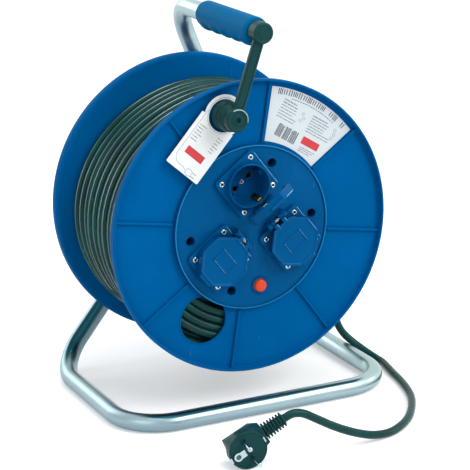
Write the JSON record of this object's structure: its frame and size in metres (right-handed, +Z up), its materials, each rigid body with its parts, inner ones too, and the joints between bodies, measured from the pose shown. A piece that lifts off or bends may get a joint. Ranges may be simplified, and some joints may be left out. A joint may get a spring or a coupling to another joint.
{
  "type": "extension cord reel",
  "caption": "Hand-wound cable drum on a bent tube frame, with lidded earthed sockets in its hub, a reset button, a winding knob and a cord that ends in an angled plug.",
  "frame": {"origin": "on the ground, midway between the outermost points left to right and front to back, the free cord and its plug left out", "axes": "+Z up, the drum's axis along Y with the socket face towards -Y, +X to the right seen from the front"},
  "size_m": [0.3196, 0.349, 0.39],
  "materials": {
    "zinc_steel": "zinc plated",
    "steel": "plain steel",
    "nickel": "nickel plated",
    "blue_plastic": "satin moulded",
    "black_plastic": "satin moulded",
    "cable_sheath": "matt sheath",
    "brass": "plain",
    "ivory_plastic": "moulded",
    "red_plastic": "moulded",
    "wire_insulation": "three plain colours",
    "card": "coated card"
  },
  "bodies": {
    "frame": {"frame_tube": "zinc_steel", "axle_spacer": "steel", "axle_bolt": "steel", "bearing_sleeve": "steel", "axle_washer": "steel", "axle_nut": "steel", "handle_grip": "blue_plastic", "handle_plug": "black_plastic", "free_cord": "cable_sheath", "plug_body": "black_plastic", "plug_relief": "black_plastic", "plug_pins": "nickel", "plug_earth": "nickel"},
    "drum": {"rear_flange": "blue_plastic", "bearing_bush": "ivory_plastic", "front_flange": "blue_plastic", "socket_panel": "blue_plastic", "drum_screws": "steel", "socket_a": "blue_plastic", "socket_b": "blue_plastic", "socket_c": "blue_plastic", "contacts_a": "brass", "contacts_b": "brass", "contacts_c": "brass", "hinge_pin_a": "steel", "hinge_pin_b": "steel", "hinge_pin_c": "steel", "lid_spring_a": "steel", "lid_spring_b": "steel", "lid_spring_c": "steel", "socket_rivets": "nickel", "cutout_body": "black_plastic", "terminal_block": "ivory_plastic", "cord_clamp": "steel", "inner_lead": "cable_sheath", "core_wires": "wire_insulation", "cable_core": "cable_sheath", "cable_winding": "cable_sheath", "knob_spindle": "steel"},
    "knob": {"winding_knob": "black_plastic"},
    "lock_arm": {"lock_arm": "black_plastic"},
    "lid_a": {"lid_a": "blue_plastic"},
    "lid_b": {"lid_b": "blue_plastic"},
    "lid_c": {"lid_c": "blue_plastic"},
    "button": {"reset_button": "red_plastic"},
    "tag": {"hang_tag": "card"}
  },
  "joints": [
    {"name": "drum_spin", "type": "hinge", "parent": "frame", "child": "drum", "pos_m": [0, 0.01329, 0.183], "axis": [0, 1, 0], "continuous": true},
    {"name": "knob_spin", "type": "hinge", "parent": "drum", "child": "knob", "pos_m": [-0.02755, -0.07671, 0.29774], "axis": [0, 1, 0], "continuous": true},
    {"name": "lock_arm_swing", "type": "hinge", "parent": "frame", "child": "lock_arm", "pos_m": [0, -0.08671, 0.377], "axis": [0, 1, 0], "range_deg": [0, 120]},
    {"name": "lid_a_hinge", "type": "hinge", "parent": "drum", "child": "lid_a", "pos_m": [0.01149, -0.07071, 0.20431], "axis": [0.7986, 0, 0.6018], "range_deg": [-64, 26]},
    {"name": "lid_b_hinge", "type": "hinge", "parent": "drum", "child": "lid_b", "pos_m": [-0.01278, -0.07071, 0.17337], "axis": [-0.6018, 0, 0.7986], "range_deg": [0, 90]},
    {"name": "lid_c_hinge", "type": "hinge", "parent": "drum", "child": "lid_c", "pos_m": [0.02365, -0.07071, 0.18817], "axis": [-0.7986, 0, -0.6018], "range_deg": [0, 90]},
    {"name": "reset_button_press", "type": "slide", "parent": "drum", "child": "button", "axis": [0, 1, 0], "range_m": [0, 0.002], "stiffness_N_per_m": 400, "springref_m": -0.002},
    {"name": "tag_swing", "type": "hinge", "parent": "drum", "child": "tag", "pos_m": [-0.02755, -0.06571, 0.29774], "axis": [0, 1, 0], "range_deg": [-8, 20]}
  ]
}
